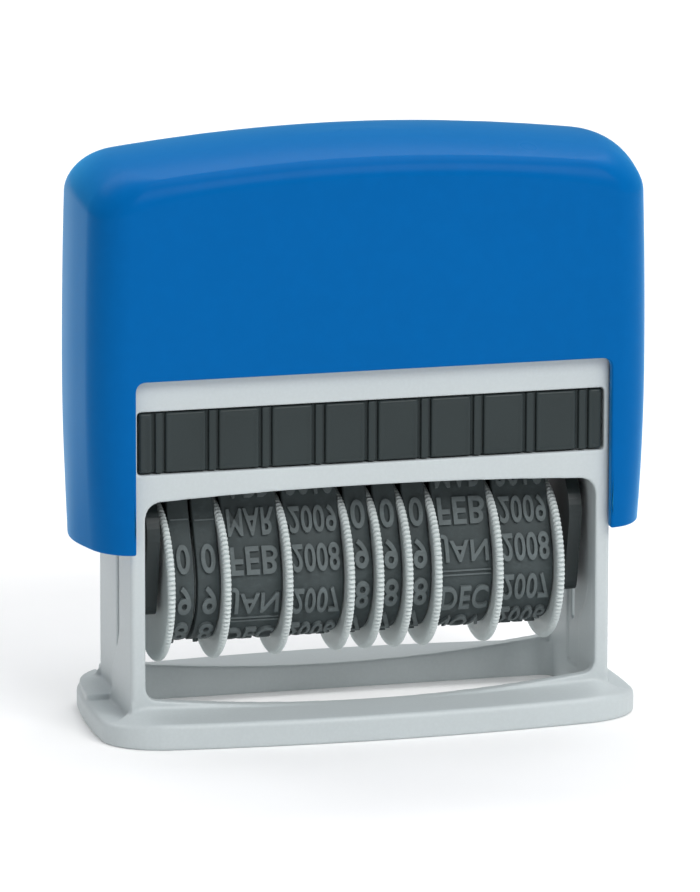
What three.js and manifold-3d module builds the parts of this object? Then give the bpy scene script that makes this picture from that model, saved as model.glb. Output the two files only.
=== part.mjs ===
// Self inking double date stamp: a press cap that slides on a moulded frame and turns a block of
// date bands over from the ink pad to the paper. Millimetres, +Z up, +X along the print line and
// -Y at the front. The origin lies on the table, under the middle of the base.
import * as THREE from 'three';
import { mergeVertices } from 'three/addons/utils/BufferGeometryUtils.js';
import Module from 'manifold-3d';

const wasm = await Module();
wasm.setup();

// ---- driving dimensions -------------------------------------------------------------------
const CLEAR = 0.3;               // gap between pieces that meet

// motion
const PRESS_TRAVEL = 13.5;       // how far the cap goes down
const PRINT_Z = 34.7;            // print face at rest, just under the ink pad
const PIVOT_Z = (PRINT_Z + PRESS_TRAVEL) / 2; // half a turn brings the print face to the table

// frame
const FRONT_Y = 11.1;            // frame face, either side of the middle
const WALL = 1.6;                // front and back wall
const FRAME_X = 31.8;            // outside of the end walls
const INNER_X = 29.9;            // inside of the end walls
const FRAME_TOP = 52;
const WALL_FOOT = 0.5;           // the walls start inside the base
const DECK_Z = 44.6;             // underside of the deck that the springs stand on
const DECK_THICK = 1.6;
const WINDOW = { halfX: 29.86, low: 5.2, sag: 1.7, high: 31.3, rise: 0.7, rLow: 2, rHigh: 2.5 };
const PAD_WINDOW = { halfX: 30.9, low: 34.9, high: 43.1 };
const RAIL = { inner: 29.2, low: 33.5, high: 34.8 }; // ledges that carry the ink pad
const RECESS_X = 30.75;          // floor of the outer recess that the yoke leg slides in
const GROOVE_X = 30.3;           // floor of the inner groove that guides the block
const SLOT_HALF = 0.8;           // upright slot for the pivot pin
const CORNER = { front: 0.6, frontLow: 7.5, rear: 1.5, rearLow: 5 }; // rounded upright corners
const OVERLAP = 0.2;             // how far joined solids run into each other
const REACH = 1;                 // how far a cutting solid runs past what it cuts

// base
const BASE = { halfX: 35.2, halfY: 16.2, front: 7, rear: 8, rim: 3.4, top: 3.6, sweep: 1.2 };
const BOW = { sides: 2.05, ends: 0.4, endsCurve: 0.0055, endsMiddle: -6 }; // swell of its edges
const LEDGE_Z = 2.9;              // top of the base at its ends
const SHELF = { front: 0.3, top: 3.65 }; // raised rear of the base's ends

// cap
const CAP = { halfX: 37.16, halfY: 12.8, front: 4.8, rear: 8.8, low: 24.85, wall: 1.4, endWall: 1.8 };
const CROWN = { crest: 76.75, acrossX: 0.0023, flatten: 0.3, acrossY: 0.0153 };
const SHOULDER = { x: 6.1, z: 4.35, y: 1.7, sideZ: 2.05 };
const DRAW = { widest: 45.8, foot: 1.08, top: 0.66 }; // the ends lean in below and above
const NOTCH = { halfX: 31.4, high: 47.3, r: 1.4 };
const HOLLOW = { roof: 2, below: 3, front: 3, rear: 6 };
const TUBE = { low: 68.4, high: 75 };   // spring guides under the top
const YOKE = { legY: 1.9, x0: 31.05, x1: 31.8, low: 68.3, high: 69.9, armY: 7, barY: 2 };

// ink pad
const TRAY = { halfX: 29.5, plateX: 30.6, low: 35.1, high: 42.9, front: 10.95, back: 8.8 };
const RIB_PITCH = 7;
const RIB_WIDTH = 0.95;
const RIB_GROOVE = { width: 0.35, depth: 0.4 };
const FELT = { halfX: 27.6, front: 7.6, back: 7.2, high: 41.4 };

// date block
const WHEEL_Z = 18.9;
const WHEEL_R = 10.94;
const WHEEL_THICK = 0.65;
const DRUM_R = 6.9;
const AXLE_R = 1.25;
const BAND = { inner: 7.2, thick: 1.5, tipY: 1.8, tipR: 1.5 };
const NARROW = 2.93;             // one figure wide
const WIDE = 7.23;               // a month or a year wide
const SIDE_GAP = 0.15;           // band to wheel, side by side
const PLATE_X = [27.2, 28.9];    // end plate, inside and outside
const PIN_R = 0.5;
const LUG = { r: 1.2, offset: 3.2 };
const BRIDGE_Y = 1.4;            // half thickness of the bar inside the bands
const BANDS_END = 25.8;          // right face of the last thumb wheel
const LEFT_GAP = { bands: 0.45, wheel: 0.4 }; // round the two bands on the left, which are apart
const SPRING = { x: 18, r: 3.2, wire: 0.4, turns: 6, high: 72.3 };
const PEG_R = SPRING.r - SPRING.wire - CLEAR;

// ---- geometry helpers ---------------------------------------------------------------------
const Y_OUT = new THREE.Matrix4().makeBasis(
  new THREE.Vector3(1, 0, 0), new THREE.Vector3(0, 0, 1), new THREE.Vector3(0, -1, 0));
const X_OUT = new THREE.Matrix4().makeBasis(
  new THREE.Vector3(0, 1, 0), new THREE.Vector3(0, 0, 1), new THREE.Vector3(1, 0, 0));

function toSolid(geometry) {
  geometry.deleteAttribute('normal');
  geometry.deleteAttribute('uv');
  const merged = mergeVertices(geometry, 1e-5);
  return new wasm.Manifold(new wasm.Mesh({
    numProp: 3,
    vertProperties: new Float32Array(merged.attributes.position.array),
    triVerts: new Uint32Array(merged.index.array),
  }));
}

function toGeometry(solid) {
  const mesh = solid.getMesh();
  const geometry = new THREE.BufferGeometry();
  geometry.setAttribute('position', new THREE.BufferAttribute(mesh.vertProperties, 3));
  geometry.setIndex(new THREE.BufferAttribute(mesh.triVerts, 1));
  geometry.computeVertexNormals();
  return geometry;
}

function box(x0, x1, y0, y1, z0, z1) {
  const geometry = new THREE.BoxGeometry(x1 - x0, y1 - y0, z1 - z0);
  geometry.translate((x0 + x1) / 2, (y0 + y1) / 2, (z0 + z1) / 2);
  return toSolid(geometry);
}

function cylinderX(r, x0, x1, y, z, sides = 24) {
  const geometry = new THREE.CylinderGeometry(r, r, x1 - x0, sides);
  geometry.rotateZ(Math.PI / 2);
  geometry.translate((x0 + x1) / 2, y, z);
  return toSolid(geometry);
}

function cylinderZ(r, x, y, z0, z1, sides = 20) {
  const geometry = new THREE.CylinderGeometry(r, r, z1 - z0, sides);
  geometry.rotateX(Math.PI / 2);
  geometry.translate(x, y, (z0 + z1) / 2);
  return toSolid(geometry);
}

// A shape drawn in X and Z, from y0 to y1.
function prismY(shape, y0, y1, curveSegments = 8) {
  const geometry = new THREE.ExtrudeGeometry(
    shape, { depth: y1 - y0, bevelEnabled: false, curveSegments });
  geometry.applyMatrix4(Y_OUT);
  geometry.translate(0, y1, 0);
  return toSolid(geometry);
}

// A shape drawn in Y and Z, from x0 to x1.
function prismX(shape, x0, x1, curveSegments = 8) {
  const geometry = new THREE.ExtrudeGeometry(
    shape, { depth: x1 - x0, bevelEnabled: false, curveSegments });
  geometry.applyMatrix4(X_OUT);
  geometry.translate(x0, 0, 0);
  return toSolid(geometry);
}

function mirrorX(solid) {
  return solid.mirror([1, 0, 0]);
}

function mirrorY(solid) {
  return solid.mirror([0, 1, 0]);
}

// A rounded rectangle in plan as [x, y] points, always with the same number of them, so that two
// such rings can be joined. front and rear are the radii of the corners.
function ring(halfX, halfY, front, rear = front) {
  const STRAIGHT = 8;
  const ARC = 5;
  const points = [];
  const corners = [[1, -1, -90, front], [1, 1, 0, rear], [-1, 1, 90, rear], [-1, -1, 180, front]];
  const onCorner = ([sx, sy, start, r], turn) => {
    const angle = THREE.MathUtils.degToRad(start + turn);
    return [sx * (halfX - r) + r * Math.cos(angle), sy * (halfY - r) + r * Math.sin(angle)];
  };
  corners.forEach((corner, k) => {
    for (let i = 0; i <= ARC; i += 1) {
      points.push(onCorner(corner, 90 * i / ARC));
    }
    const from = points[points.length - 1];
    const to = onCorner(corners[(k + 1) % 4], 0);
    const steps = k % 2 === 0 ? 2 : STRAIGHT;
    for (let i = 1; i < steps; i += 1) {
      const t = i / steps;
      points.push([from[0] + (to[0] - from[0]) * t, from[1] + (to[1] - from[1]) * t]);
    }
  });
  return points;
}

// A solid skinned over rings of [x, y, z] points. closed joins the last ring to the first;
// otherwise the first ring is capped flat and the last one by a fan to its middle.
function skin(rings, closed, apex) {
  const count = rings[0].length;
  const position = rings.flat(2);
  const index = [];
  const last = closed ? rings.length : rings.length - 1;
  for (let j = 0; j < last; j += 1) {
    const a = j * count;
    const b = ((j + 1) % rings.length) * count;
    for (let i = 0; i < count; i += 1) {
      const n = (i + 1) % count;
      index.push(a + i, a + n, b + i, a + n, b + n, b + i);
    }
  }
  if (!closed) {
    const low = position.length / 3;
    position.push(0, 0, rings[0][0][2]);
    position.push(...apex);
    const top = (rings.length - 1) * count;
    for (let i = 0; i < count; i += 1) {
      const n = (i + 1) % count;
      index.push(low, n, i, low + 1, top + i, top + n);
    }
  }
  const geometry = new THREE.BufferGeometry();
  geometry.setAttribute('position', new THREE.Float32BufferAttribute(position, 3));
  geometry.setIndex(index);
  return toSolid(geometry);
}

const group = new THREE.Group();
const MATERIALS = {
  blue: { color: 0x0a67b2, roughness: 0.32, metalness: 0 },
  grey: { color: 0xc3cbd0, roughness: 0.42, metalness: 0 },
  dark: { color: 0x3a4140, roughness: 0.5, metalness: 0 },
  ink: { color: 0x15161a, roughness: 0.9, metalness: 0 },
  rubber: { color: 0x565e61, roughness: 0.75, metalness: 0 },
  wheel: { color: 0xb9c0bf, roughness: 0.5, metalness: 0 },
  steel: { color: 0xb8babd, roughness: 0.3, metalness: 1 },
};
for (const [name, look] of Object.entries(MATERIALS)) {
  MATERIALS[name] = new THREE.MeshStandardMaterial({ ...look, name });
}

function add(name, solid, material) {
  const mesh = new THREE.Mesh(toGeometry(solid), MATERIALS[material]);
  mesh.name = name;
  group.add(mesh);
}

// ---- frame --------------------------------------------------------------------------------
function windowShape() {
  const { halfX, low, sag, high, rise, rLow, rHigh } = WINDOW;
  const shape = new THREE.Shape();
  shape.moveTo(-halfX + rLow, low);
  shape.quadraticCurveTo(0, low - 2 * sag, halfX - rLow, low);
  shape.quadraticCurveTo(halfX, low, halfX, low + rLow);
  shape.lineTo(halfX, high - rHigh);
  shape.quadraticCurveTo(halfX, high, halfX - rHigh, high);
  shape.quadraticCurveTo(0, high + 2 * rise, -halfX + rHigh, high);
  shape.quadraticCurveTo(-halfX, high, -halfX, high - rHigh);
  shape.lineTo(-halfX, low + rLow);
  shape.quadraticCurveTo(-halfX, low, -halfX + rLow, low);
  return shape;
}

// The plan of the base, drawn in by inset: bowed front and back, a little wider at the front.
function basePlan(inset) {
  const { halfX, halfY, front, rear } = BASE;
  return ring(halfX - inset, halfY - inset, front - inset, rear - inset).map(([x, y]) => [
    x + Math.sign(x) * (BOW.ends - BOW.endsCurve * (y - BOW.endsMiddle) ** 2),
    y + Math.sign(y) * BOW.sides * Math.max(0, 1 - (x / (halfX - 5)) ** 2)]);
}

// The base: a ring with a rounded rim that is lower at the ends, its top sweeping up towards the
// walls of the frame. Behind the front of each end stands a raised shelf.
function baseRing() {
  const { halfX, rim, top, sweep } = BASE;
  const sweepTop = x => top + sweep * (x / FRAME_X) ** 2;
  const dropAt = x => (rim - LEDGE_Z) * THREE.MathUtils.smoothstep(Math.abs(x), 29, halfX);
  const level = (points, z) => points.map(([x, y]) => [x, y, typeof z === 'number' ? z : z(x)]);
  const opening = ring(INNER_X - 0.1, FRONT_Y - WALL, 1.5);
  const foot = ring(FRAME_X, FRONT_Y, 2);
  const base = skin([
    level(opening, 0),
    level(basePlan(0), 0),
    level(basePlan(0), x => rim - 0.6 - dropAt(x)),
    level(basePlan(0.2), x => rim - 0.2 - dropAt(x)),
    level(basePlan(0.6), x => rim - dropAt(x)),
    foot.map(([x, y]) => [x, y, Math.abs(y) < FRONT_Y - 1.5 ? LEDGE_Z : sweepTop(x)]),
    level(opening, sweepTop),
  ], true);
  const plan = new THREE.Shape(basePlan(0.4).map(([x, y]) => new THREE.Vector2(x, y)));
  const geometry = new THREE.ExtrudeGeometry(plan, { depth: SHELF.top - 1, bevelEnabled: false });
  geometry.translate(0, 0, 1);
  const shelf = toSolid(geometry).intersect(box(RECESS_X - 0.3, 40, SHELF.front, 20, 0, 10));
  return base.add(shelf).add(mirrorX(shelf));
}

// Seen from the end, the outer recess starts behind this edge: it swells forward round the
// swing of the block and falls back towards the foot.
function recessShape() {
  const shape = new THREE.Shape();
  shape.moveTo(FRONT_Y + 1, 2.8);
  shape.lineTo(0.2, 2.8);
  shape.lineTo(-0.3, 7.6);
  shape.quadraticCurveTo(-2.4, 9, -3.9, 12.4);
  shape.quadraticCurveTo(-5.8, 14.8, -5.9, 18.5);
  shape.lineTo(-5.7, FRAME_TOP + 1);
  shape.lineTo(FRONT_Y + 1, FRAME_TOP + 1);
  return shape;
}

// The guide groove on the inside of an end wall: a bulge for the swing of the lug over a
// straight run down to the foot.
function grooveShape() {
  const shape = new THREE.Shape();
  shape.moveTo(1.9, 3.9);
  shape.lineTo(1.9, 30.4);
  shape.lineTo(-3.2, 30.4);
  shape.quadraticCurveTo(-7.6, 24, -7.7, 18.4);
  shape.quadraticCurveTo(-7.6, 13.6, -3.5, 11);
  shape.lineTo(-3.5, 5.4);
  shape.quadraticCurveTo(-3.4, 3.9, -1.9, 3.9);
  return shape;
}

function endWall() {
  const slotTop = PIVOT_Z + SLOT_HALF;
  const slotLow = PIVOT_Z - PRESS_TRAVEL;
  const x0 = INNER_X - REACH;
  const x1 = FRAME_X + REACH;
  let wall = box(INNER_X, FRAME_X, -FRONT_Y, FRONT_Y, WALL_FOOT, FRAME_TOP);
  wall = wall.subtract(prismX(recessShape(), RECESS_X, x1));
  wall = wall.subtract(prismX(grooveShape(), x0, GROOVE_X, 10));
  wall = wall.subtract(box(x0, x1, -SLOT_HALF, SLOT_HALF, slotLow, slotTop));
  return wall.subtract(cylinderX(SLOT_HALF, x0, x1, 0, slotLow, 16));
}

// What a rounded upright corner takes away: the square corner at (x, y) outside the round.
function cornerWaste(x, y, r, z0) {
  const inX = x - Math.sign(x) * r;
  const inY = y - Math.sign(y) * r;
  const outX = x + Math.sign(x) * OVERLAP;
  const outY = y + Math.sign(y) * OVERLAP;
  const square = box(Math.min(inX, outX), Math.max(inX, outX),
    Math.min(inY, outY), Math.max(inY, outY), z0, FRAME_TOP + REACH);
  return square.subtract(cylinderZ(r, inX, inY, z0 - REACH, FRAME_TOP + 2 * REACH, 24));
}

function frameHousing() {
  const wallOf = halfX => box(-halfX, halfX, -FRONT_Y, -FRONT_Y + WALL, WALL_FOOT, FRAME_TOP);
  const cut = prismY(windowShape(), -FRONT_Y - REACH, -FRONT_Y + WALL + REACH, 10);
  const front = wallOf(FRAME_X).subtract(cut);
  const back = mirrorY(wallOf(RECESS_X).subtract(cut));
  const { halfX, low, high } = PAD_WINDOW;
  const padPassage = box(-halfX, halfX, -FRONT_Y - REACH, -FRONT_Y + WALL + CLEAR, low, high);
  let housing = front.add(back).add(endWall()).add(mirrorX(endWall()));
  housing = housing.add(baseRing()).subtract(padPassage);
  for (const side of [-1, 1]) {
    housing = housing.subtract(cornerWaste(side * FRAME_X, -FRONT_Y, CORNER.front, CORNER.frontLow));
    housing = housing.subtract(cornerWaste(side * RECESS_X, FRONT_Y, CORNER.rear, CORNER.rearLow));
  }
  const deckTop = DECK_Z + DECK_THICK;
  const insideX = INNER_X + OVERLAP;
  const insideY = FRONT_Y - 0.5;
  const rail = box(RAIL.inner, insideX, -insideY, insideY, RAIL.low, RAIL.high);
  housing = housing.add(box(-insideX, insideX, -insideY, insideY, DECK_Z, deckTop));
  housing = housing.add(rail).add(mirrorX(rail));
  for (const side of [-1, 1]) {
    const x = side * SPRING.x;
    housing = housing.add(cylinderZ(PEG_R, x, 0, deckTop - OVERLAP, deckTop + 3.5));
  }
  return housing;
}

// ---- cap ----------------------------------------------------------------------------------
// The moulded outside of the cap, drawn in by inset (ends, faces) and lowered by drop, so that
// the same form gives the outside and the hollow.
function capForm(insetX, insetY, drop, low, front, rear) {
  const halfX = CAP.halfX - insetX;
  const halfY = CAP.halfY - insetY;
  const crest = CROWN.crest - drop;
  const crown = (x, y) => crest - CROWN.acrossX * x * x
    + CROWN.flatten * (x / CAP.halfX) ** 4 - CROWN.acrossY * y * y;
  const drawAt = z => (z < DRAW.widest
    ? DRAW.foot * ((DRAW.widest - z) / (DRAW.widest - CAP.low)) ** 2
    : DRAW.top * ((z - DRAW.widest) / (CROWN.crest - DRAW.widest)) ** 2);
  const drawn = (x, z) => x - Math.sign(x) * drawAt(z) * Math.min(1, Math.abs(x / halfX) ** 3);
  const outline = ring(halfX, halfY, front, rear);
  const shoulderTop = outline.map(([x, y]) =>
    [x * (halfX - SHOULDER.x) / halfX, y * (halfY - SHOULDER.y) / halfY]);
  const depth = x => SHOULDER.sideZ
    + (SHOULDER.z - SHOULDER.sideZ) * Math.min(1, Math.abs(x / halfX) ** 6);
  const rings = [];
  for (let k = 0; k < 7; k += 1) {
    const z = Math.max(CAP.low, low) + k * 6.5;
    rings.push(outline.map(([x, y]) => [drawn(x, z), y, z]));
  }
  if (low < CAP.low) {
    rings.unshift(rings[0].map(([x, y]) => [x, y, low]));
  }
  // shoulder: a quarter ellipse from the walls up to the crowned top
  for (let k = 0; k <= 6; k += 1) {
    const angle = (k / 6) * Math.PI / 2;
    rings.push(outline.map(([x, y], i) => {
      const px = x + (shoulderTop[i][0] - x) * (1 - Math.cos(angle));
      const py = y + (shoulderTop[i][1] - y) * (1 - Math.cos(angle));
      const z = crown(px, py) - depth(x) * (1 - Math.sin(angle));
      return [px + (drawn(px, z) - px) * Math.cos(angle), py, z];
    }));
  }
  for (const share of [0.8, 0.55, 0.25]) {
    rings.push(shoulderTop.map(([x, y]) => [x * share, y * share, crown(x * share, y * share)]));
  }
  return skin(rings, false, [0, 0, crest]);
}

function notchShape() {
  const { halfX, high, r } = NOTCH;
  const shape = new THREE.Shape();
  shape.moveTo(-halfX, CAP.low - 2);
  shape.lineTo(halfX, CAP.low - 2);
  shape.lineTo(halfX, high - r);
  shape.quadraticCurveTo(halfX, high, halfX - r, high);
  shape.lineTo(-halfX + r, high);
  shape.quadraticCurveTo(-halfX, high, -halfX, high - r);
  return shape;
}

function pressCap() {
  const outside = capForm(0, 0, 0, CAP.low, CAP.front, CAP.rear);
  const hollow = capForm(CAP.endWall, CAP.wall, HOLLOW.roof, CAP.low - HOLLOW.below,
    HOLLOW.front, HOLLOW.rear);
  let cap = outside.subtract(hollow);
  cap = cap.subtract(prismY(notchShape(), -CAP.halfY - REACH, CAP.halfY + REACH));
  for (const side of [-1, 1]) {
    cap = cap.add(cylinderZ(PEG_R, side * SPRING.x, 0, TUBE.low, TUBE.high));
  }
  return cap;
}

// A dark bracket clipped under the top of the cap, its legs running down in the outer recesses.
function yoke() {
  const { legY, x0, x1, low, high, armY, barY } = YOKE;
  const legShape = new THREE.Shape();
  legShape.moveTo(-legY, high);
  legShape.lineTo(-legY, PIVOT_Z);
  legShape.absarc(0, PIVOT_Z, legY, Math.PI, 2 * Math.PI, false);
  legShape.lineTo(legY, high);
  const hole = new THREE.Path();
  hole.absarc(0, PIVOT_Z, PIN_R + 0.2, 0, 2 * Math.PI, true);
  legShape.holes.push(hole);
  const inner = SPRING.x + SPRING.r + SPRING.wire + 1;
  const beam = box(inner, x1, -legY, legY, low, high);
  const arm = box(inner, inner + barY, 0, armY, low, high);
  const bridge = box(-inner - 0.5, inner + 0.5, armY - barY, armY, low, high);
  const end = prismX(legShape, x0, x1).add(beam).add(arm).add(mirrorY(arm));
  return end.add(mirrorX(end)).add(bridge).add(mirrorY(bridge));
}

function pivotPin(side) {
  const pin = cylinderX(PIN_R, PLATE_X[0] + 0.3, YOKE.x1 - 0.1, 0, PIVOT_Z);
  return side < 0 ? mirrorX(pin) : pin;
}

function spring(side) {
  const low = DECK_Z + DECK_THICK + SPRING.wire + 0.15;
  const { high } = SPRING;
  const STEPS = 11;
  const points = [];
  for (let i = 0; i <= SPRING.turns * STEPS; i += 1) {
    const turn = i / STEPS;
    const angle = turn * 2 * Math.PI;
    points.push(new THREE.Vector3(
      side * SPRING.x + SPRING.r * Math.cos(angle),
      SPRING.r * Math.sin(angle),
      low + (high - low) * turn / SPRING.turns));
  }
  const wire = new THREE.Shape().absarc(0, 0, SPRING.wire, 0, 2 * Math.PI, false);
  const path = new THREE.CatmullRomCurve3(points);
  return toSolid(new THREE.ExtrudeGeometry(wire, {
    extrudePath: path, steps: SPRING.turns * STEPS, curveSegments: 3, bevelEnabled: false }));
}

// ---- ink pad ------------------------------------------------------------------------------
function padTray() {
  const { halfX, plateX, low, high, front, back } = TRAY;
  const body = box(-halfX, halfX, -FRONT_Y + WALL - 0.1, back, low, high);
  const plate = box(-plateX, plateX, -front, -FRONT_Y + WALL, low, high);
  const well = box(-FELT.halfX - CLEAR, FELT.halfX + CLEAR, -FELT.front - CLEAR,
    FELT.back + CLEAR, low - REACH, FELT.high + CLEAR);
  let tray = body.add(plate).subtract(well);
  const { width, depth } = RIB_GROOVE;
  for (let k = -4; k <= 4; k += 1) {
    for (const side of [-1, 1]) {
      const x = k * RIB_PITCH + side * (RIB_WIDTH + width) / 2;
      tray = tray.subtract(box(x - width / 2, x + width / 2, -front - REACH, -front + depth,
        low - REACH, high + REACH));
    }
  }
  return tray;
}

function padFelt() {
  return box(-FELT.halfX, FELT.halfX, -FELT.front, FELT.back, TRAY.low + 0.05, FELT.high);
}

// ---- date block ---------------------------------------------------------------------------
// The bands from left to right: width, and the side on which their thumb wheel stands. Reading
// from the left they are tens, units, month, year, then three figures, month and year.
function layOutBands() {
  const sets = [];
  let right = BANDS_END;
  for (const width of [WIDE, WIDE, NARROW, NARROW, NARROW, WIDE, WIDE, NARROW]) {
    const wheel = [right - WHEEL_THICK, right];
    const edge = wheel[0] - SIDE_GAP;
    sets.unshift({ band: [edge - width, edge], wheel });
    right = edge - width - SIDE_GAP;
  }
  const edge = sets[0].band[0] - LEFT_GAP.bands;
  const band = [edge - NARROW + SIDE_GAP, edge];
  const wheelEdge = band[0] - LEFT_GAP.wheel;
  sets.unshift({ band, wheel: [wheelEdge - WHEEL_THICK, wheelEdge] });
  return sets;
}

// Outline of a belt round the drum and over the print edge, grown outwards by offset.
function beltOutline(offset) {
  const big = BAND.inner + offset;
  const tip = Math.max(BAND.tipR - BAND.thick + offset, 0.01);
  const tipZ = PRINT_Z - BAND.tipR;
  const reach = Math.hypot(BAND.tipY, tipZ - WHEEL_Z);
  const lean = Math.atan2(tipZ - WHEEL_Z, BAND.tipY);
  const tangent = lean - Math.acos((big - tip) / reach);
  const half = Math.PI / 2;
  const arcs = [
    { y: BAND.tipY, z: tipZ, r: tip, from: tangent, to: half, steps: 3 },
    { y: -BAND.tipY, z: tipZ, r: tip, from: half, to: 2 * half - tangent, steps: 3 },
    { y: 0, z: WHEEL_Z, r: big, from: 2 * half - tangent, to: 4 * half + tangent, steps: 22 },
  ];
  return arcs.flatMap(({ y, z, r, from, to, steps }) =>
    Array.from({ length: steps + 1 }, (_, i) => {
      const angle = from + (to - from) * i / steps;
      return new THREE.Vector2(y + r * Math.cos(angle), z + r * Math.sin(angle));
    }));
}

function dateBand([x0, x1]) {
  const shape = new THREE.Shape(beltOutline(BAND.thick));
  shape.holes.push(new THREE.Path(beltOutline(0)));
  return prismX(shape, x0, x1);
}

function thumbWheel({ band, wheel }) {
  const disc = cylinderX(WHEEL_R, wheel[0], wheel[1], 0, WHEEL_Z, 44);
  const drumX = wheel[0] > band[0] ? [band[0], wheel[0] + 0.1] : [wheel[1] - 0.1, band[1]];
  const drum = cylinderX(DRUM_R, drumX[0], drumX[1], 0, WHEEL_Z, 24);
  const bore = cylinderX(AXLE_R + 0.25, wheel[0] - WIDE - REACH, wheel[1] + WIDE + REACH,
    0, WHEEL_Z, 16);
  return disc.add(drum).subtract(bore);
}

function endPlate(side) {
  const shape = new THREE.Shape();
  shape.moveTo(-4.4, 15.1);
  shape.lineTo(4.4, 15.1);
  shape.quadraticCurveTo(6, 15.1, 6.2, 17);
  shape.lineTo(8.1, 25.5);
  shape.quadraticCurveTo(8, 28, 6.4, 29.6);
  shape.lineTo(3.4, 33.4);
  shape.lineTo(-3.4, 33.4);
  shape.lineTo(-6.4, 29.6);
  shape.quadraticCurveTo(-8, 28, -8.1, 25.5);
  shape.lineTo(-6.2, 17);
  shape.quadraticCurveTo(-6, 15.1, -4.4, 15.1);
  const [x0, x1] = PLATE_X;
  let plate = prismX(shape, x0, x1, 6);
  plate = plate.subtract(cylinderX(PIN_R + CLEAR, x0 - 1, x1 + 1, 0, PIVOT_Z));
  plate = plate.subtract(cylinderX(AXLE_R + CLEAR, x0 - 1, x1 - 0.5, 0, WHEEL_Z));
  plate = plate.add(cylinderX(LUG.r, x1 - 0.2, GROOVE_X - 0.2, 0, PIVOT_Z + LUG.offset, 16));
  return side < 0 ? mirrorX(plate) : plate;
}

function printBridge() {
  const x = PLATE_X[0] - CLEAR;
  return box(-x, x, -BRIDGE_Y, BRIDGE_Y, WHEEL_Z + WHEEL_R + 0.35, PRINT_Z - BAND.thick - CLEAR);
}

// ---- assembly -----------------------------------------------------------------------------
add('frame_housing', frameHousing(), 'grey');
add('press_cap', pressCap(), 'blue');
add('yoke', yoke(), 'dark');
add('pivot_pin_left', pivotPin(-1), 'steel');
add('pivot_pin_right', pivotPin(1), 'steel');
add('spring_left', spring(-1), 'steel');
add('spring_right', spring(1), 'steel');
add('pad_tray', padTray(), 'dark');
add('pad_felt', padFelt(), 'ink');
add('end_plate_left', endPlate(-1), 'dark');
add('end_plate_right', endPlate(1), 'dark');
add('print_bridge', printBridge(), 'dark');
add('wheel_axle', cylinderX(AXLE_R, -PLATE_X[1] + 0.8, PLATE_X[1] - 0.8, 0, WHEEL_Z), 'steel');
layOutBands().forEach((set, i) => {
  add(`date_band_${i + 1}`, dateBand(set.band), 'rubber');
  add(`thumb_wheel_${i + 1}`, thumbWheel(set), 'wheel');
});

export default group;
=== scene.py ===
"""Visual model of a self inking double date stamp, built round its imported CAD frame.

Lengths are in millimetres until they are multiplied by MM. X runs along the line of print, -Y is
the front with the pad's panels, and Z is up from the table.
"""
import math

import bmesh
import bpy
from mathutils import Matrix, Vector


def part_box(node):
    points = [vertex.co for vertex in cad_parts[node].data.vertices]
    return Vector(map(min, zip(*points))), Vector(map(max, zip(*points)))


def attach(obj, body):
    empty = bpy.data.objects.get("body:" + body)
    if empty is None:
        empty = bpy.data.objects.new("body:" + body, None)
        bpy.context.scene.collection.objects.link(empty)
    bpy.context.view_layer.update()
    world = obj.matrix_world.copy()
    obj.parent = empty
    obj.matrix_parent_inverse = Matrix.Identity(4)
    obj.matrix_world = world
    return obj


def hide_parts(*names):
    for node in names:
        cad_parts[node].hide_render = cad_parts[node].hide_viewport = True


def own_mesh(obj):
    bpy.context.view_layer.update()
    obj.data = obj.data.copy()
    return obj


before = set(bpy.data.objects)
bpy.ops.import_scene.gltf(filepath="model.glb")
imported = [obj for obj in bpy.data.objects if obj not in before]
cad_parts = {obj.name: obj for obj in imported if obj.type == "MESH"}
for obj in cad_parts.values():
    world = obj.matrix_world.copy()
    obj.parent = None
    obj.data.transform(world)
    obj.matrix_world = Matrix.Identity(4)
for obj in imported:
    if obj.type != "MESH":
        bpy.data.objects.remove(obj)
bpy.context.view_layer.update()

MM = 0.001
scene = bpy.context.scene
CLEAR = 0.3
TRAVEL = 13.5
BEYOND = 1  # how far a cutting shape reaches past what it cuts
SPRING_X = 18

# frame
FRONT_Y = 11.1
WALL = 1.6
FRAME_X = 31.8
INNER_X = 29.9
FRAME_TOP = 52
WINDOW_LOW = 5.2
WINDOW_HIGH = 31.3
RAIL = (33.5, 34.8)
DECK = (44.6, 46.2)
PEG_R = 2.5
PEG_HIGH = 3.5
RECESS_X = 30.95
GROOVE_X = 30.1
SLOT_HALF = 0.6
PIVOT_Z = 24.1
POST_CORNERS = (0.6, 1.5)

# ink pad, as (low, high) or as half widths
PASSAGE_X = 30.9
PASSAGE_Z = (34.9, 43.1)
TRAY_X = 30.6
TRAY_Z = (35.1, 42.9)
TRAY_FACE = -10.95
TRAY_BODY_X = 29.5
TRAY_REAR = 8.8
PANEL_PITCH = 7

# base
BASE_HALF = (35.2, 16.2)
BASE_BOW = 2.05
BASE_CORNERS = (7, 8)
RIM_Z = 3.4
LEDGE_Z = 2.9
SHELF_FRONT = 0.3
SHELF_TOP = 3.65

# cap
CAP_HALF = (36.8, 12.8)
CAP_END_BOW = 0.64
CAP_CORNERS = (4.8, 8.8)
CAP_LOW = 24.85
CAP_CREST = 76.75
CAP_WIDEST_Z = 45.8
CAP_WALL = (1.8, 1.4)
CAP_ROOF = 2
HOLLOW_CORNERS = (3, 6)
NOTCH_X = 31.4
NOTCH_HIGH = 47.3
TUBE_R = 2.5
TUBE_Z = (68.4, 75)

# date block
WHEEL_Z = 18.9
DRUM_R = 6.9
BELT_R = 8.27
BELT_IN = 7.2
TIP = (1.8, 33.2)
TIP_R = 1.07
RELIEF = 0.44
SUNK = 0.1  # how deep raised characters reach into the band
DIGIT = (0.64, 3.8)  # share of the band's width, height
WORD = (0.87, 3.6)
TEETH = 108
RIM_R = 10.94
BEAD_DEEP = 0.7
AXIS_R = 0.02  # a turned piece closes this near its axis


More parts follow.
